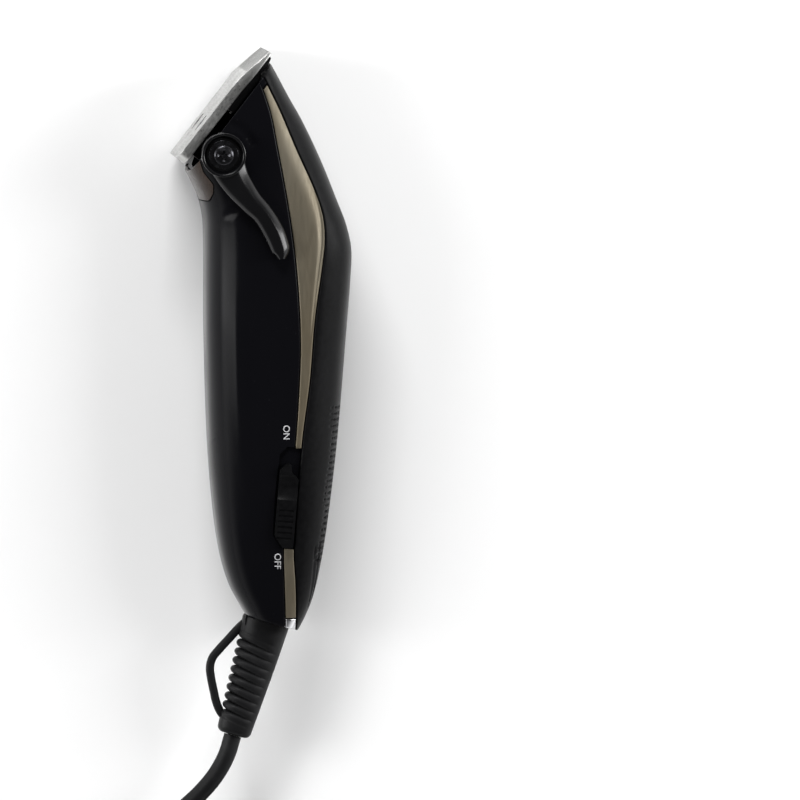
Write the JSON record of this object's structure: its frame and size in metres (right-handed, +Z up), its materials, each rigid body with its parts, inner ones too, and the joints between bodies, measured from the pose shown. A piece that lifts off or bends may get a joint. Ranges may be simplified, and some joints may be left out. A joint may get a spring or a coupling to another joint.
{
  "type": "corded hair clipper",
  "caption": "Corded hair clipper with a toothed blade set, a taper lever, a side slide switch, metal-look side trims, and a cord wound in a coil with its plug.",
  "frame": {"origin": "centre of the base of the clipper without its cord, as it lies on its plain side", "axes": "+Z up out of the lever side, +Y towards the blade's teeth, -X towards the blade's face, +X towards the grip"},
  "size_m": [0.0802, 0.3061, 0.0493],
  "materials": {
    "gloss_housing": "glossy black plastic",
    "satin_housing": "satin black plastic",
    "lever_plastic": "glossy black plastic",
    "champagne_trim": "champagne metal plating",
    "bright_metal": "bright plating",
    "bronze_metal": "bronze plating",
    "blade_steel": "ground steel",
    "screw_steel": "zinc-plated steel",
    "oxide_screw": "dark oxide steel",
    "dark_steel": "oiled dark steel",
    "dark_screw": "blackened steel",
    "core_iron": "laminated iron",
    "copper_wire": "enamelled copper",
    "white_plastic": "off-white engineering plastic",
    "cord_rubber": "satin black flexible plastic",
    "blue_lead": "blue insulation",
    "brown_lead": "brown insulation",
    "plug_brass": "polished brass"
  },
  "bodies": {
    "housing": {"front_shell": "gloss_housing", "rear_cover": "satin_housing", "left_trim": "champagne_trim", "left_lower_trim": "champagne_trim", "right_trim": "champagne_trim", "left_tail_clip": "bright_metal", "right_tail_clip": "bright_metal", "throat_bezel": "bronze_metal", "stationary_blade": "blade_steel", "blade_screw_1": "oxide_screw", "blade_screw_2": "oxide_screw", "blade_bracket": "satin_housing", "cover_screw_1": "dark_screw", "cover_screw_2": "dark_screw", "coil_core": "core_iron", "core_screw_1": "screw_steel", "core_screw_2": "screw_steel", "coil_bobbin": "white_plastic", "coil_winding": "copper_wire", "armature_bracket": "core_iron", "return_spring_1": "screw_steel", "return_spring_2": "screw_steel", "spring_bracket": "screw_steel", "switch_body": "satin_housing", "strain_relief": "cord_rubber", "cord_clamp": "satin_housing", "terminal_block": "white_plastic", "lead_blue": "blue_lead", "lead_brown": "brown_lead", "cord_lead": "cord_rubber", "cord_coil": "cord_rubber", "cord_tail": "cord_rubber", "plug_body": "cord_rubber", "plug_blade_1": "plug_brass", "plug_blade_2": "plug_brass"},
    "lever": {"taper_lever": "lever_plastic", "lever_washer": "dark_screw", "lever_screw": "dark_screw", "taper_shaft": "satin_housing"},
    "carriage": {"taper_carriage": "satin_housing", "tension_spring": "screw_steel"},
    "moving_blade": {"cutter": "dark_steel", "cutter_follower": "satin_housing"},
    "armature_arm": {"armature": "core_iron", "leaf_spring": "screw_steel", "drive_finger": "white_plastic"},
    "switch_slider": {"switch_knob": "satin_housing"},
    "power_adjuster": {"power_screw": "dark_screw"}
  },
  "joints": [
    {"name": "taper_lever_turn", "type": "hinge", "parent": "housing", "child": "lever", "pos_m": [-0.01255, 0.06944, 0.045], "axis": [0, 0, 1], "range_deg": [-40, 0]},
    {"name": "taper_slide", "type": "slide", "parent": "housing", "child": "carriage", "axis": [0.6157, 0.788, 0], "range_m": [-0.002, 0]},
    {"name": "armature_swing", "type": "hinge", "parent": "housing", "child": "armature_arm", "pos_m": [0.00225, -0.03076, 0.024], "axis": [1, 0, 0], "range_deg": [-0.72, 0.72], "deforming": ["return_spring_1", "return_spring_2"]},
    {"name": "cutter_slide", "type": "slide", "parent": "carriage", "child": "moving_blade", "axis": [0, 0, 1], "range_m": [-0.0015, 0.0015]},
    {"name": "switch_slide", "type": "slide", "parent": "housing", "child": "switch_slider", "axis": [0.0764, 0.9925, 0.0959], "range_m": [0, 0.0035]},
    {"name": "power_screw_turn", "type": "hinge", "parent": "housing", "child": "power_adjuster", "pos_m": [-0.00425, 0.07524, 0.007], "axis": [0, 0, 1], "range_deg": [-180, 180]}
  ],
  "couplings": [
    {"joint": "taper_slide", "follows": "taper_lever_turn", "m_per_rad": 0.00284},
    {"joint": "cutter_slide", "follows": "armature_swing", "m_per_rad": 0.116}
  ]
}
